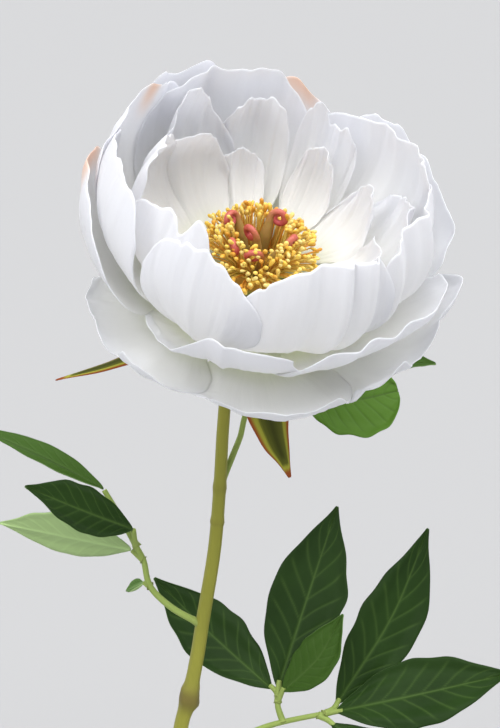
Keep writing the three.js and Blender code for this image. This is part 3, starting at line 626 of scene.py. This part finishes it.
# ------------------------------------------------------------------ petals
def ring_surface(ring, azimuth, along):
    """Places on a ring's surface, in the bloom's frame."""
    slack = (1 + np.cos(azimuth - SLACK_AZIMUTH)) / 2
    (r0, z0), (r1, z1), (r2, z2), (r3, z3) = ring["profile"]
    tuck = 1 - ring["tuck"] * slack
    t, s = along, 1 - along
    b0, b1, b2, b3 = s**3, 3 * s * s * t, 3 * s * t * t, t**3
    radius = b0 * r0 + b1 * r1 + (b2 * r2 + b3 * r3) * tuck
    height = b0 * z0 + b1 * z1 + b2 * (z2 - ring["droop"] * slack / 2) + b3 * (z3 - ring["droop"] * slack)
    return np.stack([radius * np.cos(azimuth), radius * np.sin(azimuth), height], -1)


def ring_frame(ring, azimuth, along):
    """Outward normals and unit vectors along the meridian of a ring's surface."""
    step = 1e-3
    across = ring_surface(ring, azimuth + step, along) - ring_surface(ring, azimuth - step, along)
    up = ring_surface(ring, azimuth, along + step) - ring_surface(ring, azimuth, along - step)
    return unit(np.cross(across, up)), unit(up)


PETAL_ROWS, PETAL_COLUMNS = 60, 60
PETAL_CLEARANCE = 0.45


def petal_grid(ring, azimuth, half_span, look, rng):
    """The petal's middle surface as a grid, with its outward normals, in the bloom's frame."""
    v, u = np.mgrid[0:1:PETAL_ROWS * 1j, -1:1:PETAL_COLUMNS * 1j]
    v = 1 - (1 - v) ** 1.15
    opening = CLAW + (1 - CLAW) * smooth(v, *look.get("spread", (0, 0.55)))
    width = opening * (1 - (1 - look.get("tip", ring["tip"])) * smooth(v, 0.6, 1) ** 2)
    turn = math.radians(half_span) * (u * width + 0.03 * rng.uniform(-1, 1) * v * v)
    lip = rim_line(u[0], look["rim"]) + margin_scallops(u[0], rng)
    corner = 0.07 * np.abs(u) ** 7
    along = v * (1 + (lip[None] - 1 - corner) * smooth(v, 0.1, 0.9))
    base = ring_surface(ring, math.radians(azimuth) + turn, along)
    normal, up = ring_frame(ring, math.radians(azimuth) + turn, along)
    lift = petal_relief(u, v, look, rng) - ring["inset"] * smooth(v, 0.1, 0.5)
    rolled = look.get("curl", 0) * smooth(v, 0.72, 1) ** 2
    lean = np.interp(u, (-1, 0, 1), look.get("lean", (0, 0, 0))) * smooth(v, 0.4, 1)
    grid = base + normal * (lift + rolled + lean)[..., None] - up * (np.abs(rolled) * 0.3)[..., None]
    return grid, normal, u, v


def rim_line(u, knots):
    """The rim's length across the petal: the knots joined and softened."""
    fine = np.linspace(-1.15, 1.15, 231)
    line = np.interp(fine, [k[0] for k in knots], [k[1] for k in knots])
    kernel = np.exp(-(np.arange(-10, 11) / 5) ** 2)
    soft = np.convolve(np.pad(line, 10, mode="edge"), kernel / kernel.sum(), mode="valid")
    return np.interp(u, fine, soft)


def margin_scallops(u, rng):
    """Shallow lobes and small nicks along a rim, as a share of the petal's length."""
    line = np.zeros_like(u)
    for k in range(4, 13):
        line += 0.010 / k ** 0.5 * rng.uniform(0.2, 1) * np.sin(k * 1.7 * u + rng.uniform(0, 6.3))
    for _ in range(2):
        depth, place, width = rng.uniform(0.004, 0.018), rng.uniform(-0.9, 0.9), rng.uniform(0.03, 0.07)
        line -= depth * np.exp(-((u - place) / width) ** 2)
    return line


def petal_relief(u, v, look, rng):
    """How far the petal stands off its ring's surface: keel, creases, pleats, cupping and ruffled margin."""
    keel = look.get("fold", 0) * (0.35 - np.abs(u)) * smooth(v, 0.1, 0.7)
    creases = np.zeros_like(u)
    for _ in range(8):
        middle, width = rng.uniform(-0.9, 0.9), rng.uniform(0.035, 0.1)
        size = rng.uniform(0.15, 0.5) * rng.choice([-1, 1])
        bend = middle * (0.75 + 0.25 * v) + rng.uniform(-0.1, 0.1) * v
        creases += size * np.exp(-((u - bend) / width) ** 2) * smooth(v, 0.15, 0.8)
    for place, width, depth in look.get("pleats", ()):
        bend = place * (0.7 + 0.3 * v)
        creases += depth * np.exp(-((u - bend) / width) ** 2) * smooth(v, 0.3, 0.85)
    margin = np.maximum(smooth(v, 0.6, 1.0), smooth(np.abs(u), 0.65, 1.0) * smooth(v, 0.3, 0.7))
    ruffle = look.get("ruffle", 1.0) * margin * (
        0.75 * waves(rng, u, v, 4, 0.5, 1.3) + 0.3 * waves(rng, u, v, 4, 1.6, 3.0) * margin)
    body = 0.6 * waves(rng, u, v, 4, 0.3, 0.9) * smooth(v, 0.1, 0.5)
    cup = -0.8 * u * u * smooth(v, 0.2, 0.8)
    fine = 0.07 * waves(rng, u * 5, v, 6, 0.8, 2.2) * smooth(v, 0.1, 0.4)
    return keel + creases + ruffle + body + cup + fine


def push_outside(grid, normal, placed):
    """Moves a petal's grid outwards until it clears the petals already placed."""
    if not placed["faces"]:
        return grid
    tree = BVHTree.FromPolygons(placed["vertices"], placed["faces"])
    reach = 7.0
    for _ in range(3):
        push = np.zeros(grid.shape[:2])
        for index in np.ndindex(push.shape):
            start = Vector(grid[index] + normal[index] * reach)
            hit = tree.ray_cast(start, Vector(-normal[index]), reach + PETAL_CLEARANCE)
            if hit[0] is not None:
                push[index] = reach + PETAL_CLEARANCE - hit[3]
        if push.max() <= 0:
            break
        push *= smooth(np.linspace(0, 1, push.shape[0]), 0.03, 0.25)[:, None]
        spread = blur(widest(push, 2), 3)
        grid = grid + normal * np.maximum(spread, 0)[..., None]
    return grid


def remember(grid, placed):
    rows, columns = grid.shape[:2]
    start = len(placed["vertices"])
    placed["vertices"] += [Vector(p) for p in grid.reshape(-1, 3)]
    placed["faces"] += grid_faces(rows, columns, start)


def build_petals(material):
    rng = np.random.default_rng(SEED)
    placed = {"vertices": [], "faces": []}
    for ring in RINGS:
        for index, (azimuth, half_span, look) in enumerate(ring["petals"]):
            grid, normal, u, v = petal_grid(ring, azimuth, half_span, look, rng)
            grid = push_outside(grid, normal, placed)
            remember(grid, placed)
            name = f"{ring['name']}_{index + 1}"
            blush = blush_patch(u, v, look)
            tints = {"along": v, "blush": blush}
            piece = sheet_object(f"{name}_blade", to_world(grid), PETAL_THICKNESS, tints, ((u + 1) / 2, v))
            finish_piece(piece, material, name)


def blush_patch(u, v, look):
    """A warm patch at the rim between two places across the petal, or none."""
    if "blush" not in look:
        return np.zeros_like(u)
    left, right = look["blush"]
    across = smooth(u, left - 0.1, left + 0.12) * (1 - smooth(u, right - 0.12, right + 0.1))
    return 0.8 * smooth(v, 0.82, 1.0) * across


# ------------------------------------------------------------------ carpels and stamens
def build_carpels(material):
    """Flasks that lean outwards, each ending in a stigma curled to one side."""
    rng = np.random.default_rng(SEED + 1)
    for index, (azimuth, reach, height, way) in enumerate(CARPELS):
        a = math.radians(azimuth)
        out = np.array([math.cos(a), math.sin(a), 0])
        side = np.array([-math.sin(a), math.cos(a), 0]) * way
        foot_radius = 0 if reach < CARPEL_FOOT_RADIUS else CARPEL_FOOT_RADIUS
        foot = out * foot_radius + (0, 0, CARPEL_FOOT)
        neck = out * reach * 0.86 + (0, 0, height - 3.4)
        start = np.array([foot, foot * 0.5 + neck * 0.5 + (0, 0, 0.8), neck])
        body = spline(start, 26)
        heading = unit(body[-1] - body[-3])
        angle = rng.uniform(1.15, 1.35) * 2 * math.pi
        share = np.linspace(0, 1, STIGMA_STEPS + 1)[1:, None]
        radius = STIGMA_RADIUS * (1 - 0.62 * share)
        across, along = np.cos(math.pi - angle * share), np.sin(math.pi - angle * share)
        centre = body[-1] + side * STIGMA_RADIUS + out * 0.9 * share
        path = np.vstack([body, centre + radius * (side * across + heading * along)])
        share = np.linspace(0, 1, len(path))
        radii = np.interp(share, [0, 0.08, 0.2, 0.33, 0.42, 0.6, 0.85, 0.97, 1],
                          [1.1, 1.9, 2.0, 1.35, 1.05, 1.15, 1.0, 0.75, 0.35])
        bundle = Bundle(["along"])
        bundle.add_tube(path, radii, 16, {"along": share}, 0.85)
        carpel = bundle.finish(f"carpel_{index + 1}_flask")
        move_to_world(carpel)
        finish_piece(carpel, material, f"carpel_{index + 1}")


def move_to_world(obj):
    """Takes an object's vertices from the bloom's frame to the object's frame."""
    mesh = obj.data
    co = np.zeros(len(mesh.vertices) * 3)
    mesh.vertices.foreach_get("co", co)
    world = to_world(co.reshape(-1, 3) / MM) * MM
    mesh.vertices.foreach_set("co", world.ravel())
    mesh.update()


def build_stamens(material):
    rng = np.random.default_rng(SEED + 2)
    sector = 2 * math.pi / STAMEN_BUNDLES
    for index in range(STAMEN_BUNDLES):
        bundle = Bundle(["hue", "anther"])
        arc = np.linspace(index * sector + 0.06, (index + 1) * sector - 0.06, 14)
        ring = np.stack([STAMEN_FOOT_RADIUS * np.cos(arc), STAMEN_FOOT_RADIUS * np.sin(arc),
                         np.full(14, STAMEN_FOOT)], 1)
        bundle.add_tube(ring, np.full(14, 0.55), 8, {"hue": 0.3, "anther": 0.0})
        for _ in range(STAMENS_PER_BUNDLE):
            azimuth = rng.uniform(arc[0], arc[-1])
            layer = rng.uniform(0, 1) ** 0.75
            reach = np.interp(layer, (0, 1), STAMEN_REACH) + rng.normal(0, 0.5)
            height = np.interp(layer ** 1.7, (0, 1), STAMEN_HEIGHT)
            add_stamen(bundle, rng, azimuth, reach, height)
        piece = bundle.finish(f"stamens_{index + 1}_hairs")
        move_to_world(piece)
        finish_piece(piece, material, f"stamens_{index + 1}")


def polar(radius, angle, height):
    return np.array([radius * math.cos(angle), radius * math.sin(angle), height])


def add_stamen(bundle, rng, azimuth, reach, height):
    """A filament from the staminal ring to reach and height, and a pear-shaped anther on its end."""
    height += rng.normal(0, 1.2)
    drift = rng.normal(0, 0.10)
    foot = polar(STAMEN_FOOT_RADIUS + rng.uniform(-0.3, 0.3), azimuth, STAMEN_FOOT)
    third = STAMEN_FOOT_RADIUS + (reach - STAMEN_FOOT_RADIUS) * 0.35
    path = spline([foot, polar(third, azimuth + drift * 0.5, height * 0.6),
                   polar(reach, azimuth + drift, height)], 12)
    hue = rng.beta(1.3, 1.6)
    bundle.add_tube(path, np.linspace(0.34, 0.24, 12), 6, {"hue": hue, "anther": 0.0})
    heading = unit(unit(path[-1] - path[-3]) + rng.normal(0, 0.35, 3))
    length, girth = rng.uniform(2.0, 3.0), rng.uniform(0.62, 0.86)
    share = np.linspace(0, 1, 9)
    lobe = path[-1] + np.outer(share * length - 0.2, heading)
    radii = girth * np.interp(share, [0, 0.15, 0.45, 0.75, 0.93, 1], [0.35, 0.62, 0.95, 1.0, 0.7, 0.2])
    bundle.add_tube(lobe, radii, 9, {"hue": hue, "anther": 1.0}, 0.72)


# ------------------------------------------------------------------ leaves and sepals
LEAF_ROWS, LEAF_COLUMNS = 121, 45


def blade_grid(path, face, width, fold, rng, shape, wave):
    """Flat middle surface of a leaf or sepal along its midrib, its upward vectors and how far to lift it."""
    midrib = spline(path, LEAF_ROWS)
    tangent = unit(np.gradient(midrib, axis=0))
    side = unit(np.cross(tangent, unit(face)))
    up = np.cross(side, tangent)
    v, u = np.mgrid[0:1:LEAF_ROWS * 1j, -1:1:LEAF_COLUMNS * 1j]
    half = shape(v) * width / 2
    lobes = 0.025 * np.sin(9 * v * math.pi + rng.uniform(0, 6.3)) * np.sign(u)
    edge = 1 + lobes + 0.02 * waves(rng, v * 3, v, 3, 0.6, 1.6)
    margin = smooth(np.abs(u), 0.2, 1) * half / (width / 2)
    lift = fold * half * u * u + wave * margin * waves(rng, u, v, 4, 0.5, 1.4)
    place = midrib[:, None] + side[:, None] * (half * u * edge)[..., None]
    return place, up[:, None] * np.ones_like(place), u, v, lift, half


def leaf_veins(u, v, half):
    """1 on the midrib and on the arching side veins, 0 between them."""
    across = np.abs(u) * half
    midrib = np.exp(-(across / (0.55 * (1 - 0.65 * v) + 0.08)) ** 2)
    phase = v * 8.5 - np.abs(u) ** 0.8 * 1.9
    line = np.abs((phase + 0.5) % 1 - 0.5)
    side = np.exp(-(line / 0.075) ** 2) * smooth(1 - np.abs(u), 0.04, 0.3) * smooth(v, 0.02, 0.1)
    return np.clip(np.maximum(midrib, 0.55 * side), 0, 1)


def leaf_shape(v):
    return 0.035 + 0.965 * np.sin(math.pi * np.clip(v, 0, 1) ** 0.92) * (1 - 0.25 * smooth(v, 0.7, 1))


def blunt_leaf_shape(v):
    return 0.03 + 0.97 * np.sqrt(np.clip(np.sin(math.pi * np.clip(v, 0, 1) ** 1.1), 0, 1))


def sepal_shape(v):
    body = np.sin(math.pi * np.clip(v, 0, 1) ** 0.75) ** 0.85
    return 0.05 + 0.95 * body * (1 - 0.35 * smooth(v, 0.78, 1))


def build_leaves(dark, pale):
    rng = np.random.default_rng(SEED + 3)
    for name, (width, face, fold, path) in LEAVES.items():
        shape = blunt_leaf_shape if name in BLUNT_LEAVES else leaf_shape
        place, up, u, v, lift, half = blade_grid(path, face, width, fold, rng, shape, 0.9)
        vein = leaf_veins(u, v, half)
        lift = lift - 0.32 * vein * np.minimum(1, width / 14) + 0.18 * smooth(np.abs(u), 0, 0.4)
        grid = place + up * lift[..., None]
        tints = {"vein": vein, "young": np.full(u.shape, YOUNG_LEAVES.get(name, 0.0))}
        piece = sheet_object(f"{name}_blade", grid, LEAF_THICKNESS, tints, ((u + 1) / 2, v))
        material, slot = (pale, "leaf_pale") if name in PALE_LEAVES else (dark, "leaf_dark")
        finish_piece(piece, material, name)


def build_sepals(material):
    rng = np.random.default_rng(SEED + 4)
    for name, (width, face, fold, path) in SEPALS.items():
        place, up, u, v, lift, _ = blade_grid(path, face, width, -fold, rng, sepal_shape, 0.4)
        grid = place + up * lift[..., None]
        edge = np.maximum(np.abs(u), smooth(v, 0.82, 1.0))
        piece = sheet_object(f"{name}_blade", grid, LEAF_THICKNESS, {"edge": edge}, ((u + 1) / 2, v))
        finish_piece(piece, material, name)


# ------------------------------------------------------------------ stem, stalks and receptacle
def build_stem(material):
    """A ribbed stem with a lumpy brown knob, and two faint scars where leaves once grew."""
    rng = np.random.default_rng(SEED + 5)
    rings, sides = 260, 28
    path = spline(STEM_PATH, rings)
    height = path[:, 2]
    radius = np.interp(np.linspace(0, 1, rings), [0, 1], STEM_RADIUS)
    knob = np.exp(-((height - KNOB["height"]) / KNOB["spread"]) ** 2)
    angles = np.linspace(0, 2 * math.pi, sides, endpoint=False)
    ribs = 0.06 * np.cos(5 * angles)[None] + 0.03 * np.cos(9 * angles + 1)[None]
    lumps = np.zeros((rings, sides))
    for _ in range(9):
        centre, where = rng.uniform(-4, 4), rng.uniform(0, 2 * math.pi)
        spot = (np.cos(angles - where)[None] * 0.5 + 0.5) ** 3
        band = np.exp(-((height[:, None] - KNOB["height"] - centre) / 1.1) ** 2)
        lumps += rng.uniform(0.2, 0.7) * band * spot
    scar = 0.35 * np.exp(-((height - 237) / 0.9) ** 2) + 0.25 * np.exp(-((height - 249) / 1.6) ** 2)
    radii = radius[:, None] * (1 + ribs) + KNOB["swell"] * 0.7 * knob[:, None] + lumps + scar[:, None]
    bundle = Bundle(["scar"])
    brown = np.clip(0.85 * knob + scar * 0.8, 0, 1)
    bundle.add_tube(path, radii, sides, {"scar": brown})
    stem = bundle.finish("main_stem_skin")
    finish_piece(stem, material, "main_stem")


def build_stalks(material):
    sides = 12
    ribs = 0.12 * np.cos(np.linspace(0, 2 * math.pi, sides, endpoint=False)) ** 8
    for name, branches in STALKS.items():
        bundle = Bundle(["scar"])
        for points in branches:
            count = 16 * (len(points) - 1)
            path = spline(points, count)
            share = np.linspace(0, 1, count)
            collar = 0.35 * np.exp(-(share / 0.05) ** 2)
            radii = STALK_RADIUS * (1.15 - 0.3 * share) * (1 + collar)
            bundle.add_tube(path, radii[:, None] * (1 - ribs)[None], sides, {"scar": collar})
        piece = bundle.finish(f"{name}_skin")
        finish_piece(piece, material, name)


def build_receptacle(material):
    """A ribbed green cup under the petals, with a shallow ochre disc on top where the stamens stand."""
    sides = 60
    profile = [(1.6, -13.0), (2.7, -12.4), (4.6, -11.6), (7.0, -10.2), (8.0, -7.6), (8.2, -4.0),
               (8.1, -1.0), (8.0, 0.4), (7.4, 1.05), (6.2, 1.1), (5.0, 0.9), (3.0, 0.8)]
    curve = spline([(r, 0, z) for r, z in profile], 4 * (len(profile) - 1) + 1)[:, [0, 2]]
    angles = np.linspace(0, 2 * math.pi, sides, endpoint=False)
    ribs = 0.03 * np.cos(10 * angles)[None] * smooth(curve[:, 0], 3, 7)[:, None]
    vertices = revolve(curve, curve[:, 0, None] * (1 + ribs), angles)
    disc = smooth(vertices[:, 2], -5, -2)
    cup = mesh_object("receptacle_cup", to_world(vertices), tube_faces(len(curve), sides), {"scar": disc})
    finish_piece(cup, material, "receptacle")


def revolve(profile, radius, angles):
    """Vertices of a body of revolution about +Z: a ring for each profile point, then each end's middle."""
    height = np.repeat(profile[:, 1, None], len(angles), 1)
    rings = np.stack([radius * np.cos(angles), radius * np.sin(angles), height], -1)
    return np.vstack([rings.reshape(-1, 3), [[0, 0, profile[0, 1]], [0, 0, profile[-1, 1]]]])


# ------------------------------------------------------------------ vase
VASE_RINGS, VASE_SIDES = 150, 128
VASE_NECK = 11.2
VASE_WALL = 3
VASE_FLOOR = 5.0


def build_vase(material):
    """A thrown bud vase: flat bare underside, round belly, narrow neck, rolled lip and a hollow inside."""
    low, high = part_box("vase")
    top, belly = high.z / MM, (high.x - low.x) / 2 / MM
    outside = [(belly * 0.778, 2), (belly, 44), (20.2, top - 57), (VASE_NECK, top - 34),
               (VASE_NECK, top - 8), (13, top - 1)]
    outer = spline([(r, 0, z) for r, z in outside], VASE_RINGS)[:, [0, 2]]
    keep = (outer[:, 1] > 8) & (outer[:, 1] < top - 2)
    inner = outer[keep][::-1] - (VASE_WALL, 0)
    lip = [(12.9, top - 0.5), (12.4, top - 0.1), (11.6, top), (10.8, top - 0.2), (10.2, top - 0.9)]
    foot = [(24, 0.0), (26.2, 0.0), (26.9, 0.3), (27.5, 0.9)]
    floor = [(25.2, 7.0), (24.2, 5.8), (22.5, 5.1), (12, VASE_FLOOR)]
    profile = np.vstack([[(12, 0.0)], foot, outer, lip, inner, floor])
    angles = np.linspace(0, 2 * math.pi, VASE_SIDES, endpoint=False)
    throwing = 0.072 * np.sin(profile[:, 1] * 1.45)[:, None] + 0.06 * np.sin(3 * angles + 1)[None]
    wall = smooth(profile[:, 1], 3, 12)[:, None]
    vertices = revolve(profile, profile[:, 0, None] + throwing * wall, angles)
    bare = 1 - smooth(vertices[:, 2], 1.6, 3.2)
    vase = mesh_object("vase_body", vertices, tube_faces(len(profile), VASE_SIDES), {"bare": bare})
    finish_piece(vase, material, "vase")


# ------------------------------------------------------------------ stage, light and camera
FLOOR_SIZE, FLOOR_GAP = 40.0, 0.0002


def finish_piece(piece, material, name):
    """Gives a piece its material and says which of the frame's nodes it stands for."""
    piece.data.materials.append(material)
    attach(piece, "root")
    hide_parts(name)


def build_stage():
    bpy.ops.mesh.primitive_plane_add(size=FLOOR_SIZE, location=(0, 0, -FLOOR_GAP))
    floor = bpy.context.object
    floor.name = "studio_floor"
    material, tree, shader, _ = new_material("studio_paper")
    clouds = noise(tree, 3, (1, 1, 1), 2)
    share = maths(tree, "MULTIPLY", clouds, 0.08)
    colour = mix_colour(tree, share, (0.35, 0.35, 0.353), (0.335, 0.335, 0.338))
    tree.links.new(colour, shader.inputs["Base Color"])
    shader.inputs["Roughness"].default_value = 0.9
    floor.data.materials.append(material)


def area_light(name, place, target, size, power, colour):
    light = bpy.data.lights.new(name, "AREA")
    light.shape = "DISK"
    light.size = size
    light.energy = power
    light.color = colour
    obj = bpy.data.objects.new(name, light)
    obj.location = place
    obj.rotation_euler = (Vector(target) - Vector(place)).to_track_quat("-Z", "Y").to_euler()
    bpy.context.scene.collection.objects.link(obj)


def sky_light(name, towards, strength):
    """A broad soft light from far away; towards points from the object to it."""
    light = bpy.data.lights.new(name, "SUN")
    light.energy = strength
    light.angle = math.radians(60)
    obj = bpy.data.objects.new(name, light)
    obj.rotation_euler = (-Vector(towards)).to_track_quat("-Z", "Y").to_euler()
    bpy.context.scene.collection.objects.link(obj)


def build_light():
    world = bpy.data.worlds.new("studio_air")
    world.use_nodes = True
    background = world.node_tree.nodes["Background"]
    background.inputs["Color"].default_value = (0.93, 0.94, 0.97, 1)
    background.inputs["Strength"].default_value = 0.8
    bpy.context.scene.world = world
    bloom = (0.03, -0.02, 0.34)
    area_light("window_left", (-0.9, -1.3, 1.5), bloom, 1.3, 6, (1.0, 0.99, 0.97))
    sky_light("sky_left", (-0.45, -0.5, 0.74), 1.1)
    sky_light("sky_above", (0.25, -0.3, 0.9), 3.1)


def build_camera():
    data = bpy.data.cameras.new("photo_view")
    data.lens = 110
    data.sensor_width = 36
    camera = bpy.data.objects.new("photo_view", data)
    camera.location = (0.0289, -0.7091, 0.4950)
    camera.rotation_euler = Euler((math.radians(74), 0, 0))
    bpy.context.scene.collection.objects.link(camera)
    scene = bpy.context.scene
    scene.camera = camera
    scene.view_settings.view_transform = "Standard"
    scene.cycles.max_bounces = 16
    scene.cycles.diffuse_bounces = 10
    scene.cycles.transmission_bounces = 12


build_camera()
build_light()
build_stage()
build_petals(petal_material())
build_carpels(carpel_material())
build_stamens(stamen_material())
build_leaves(leaf_material("leaf_dark", (0.009, 0.027, 0.0035), (0.024, 0.060, 0.009),
                           (0.20, 0.32, 0.11), (0.075, 0.14, 0.03)),
             leaf_material("leaf_pale", (0.10, 0.20, 0.05), (0.14, 0.26, 0.07),
                           (0.40, 0.56, 0.24), (0.30, 0.44, 0.18)))
build_sepals(sepal_material())
build_stem(stem_material("stem_skin", (0.36, 0.34, 0.055), (0.17, 0.18, 0.03), (0.13, 0.10, 0.03)))
build_stalks(stem_material("stalk_skin", (0.33, 0.42, 0.12), (0.20, 0.27, 0.06), (0.22, 0.22, 0.07)))
build_receptacle(stem_material("receptacle_skin", (0.30, 0.36, 0.10), (0.18, 0.22, 0.05),
                               (0.42, 0.20, 0.03)))
build_vase(glaze_material())
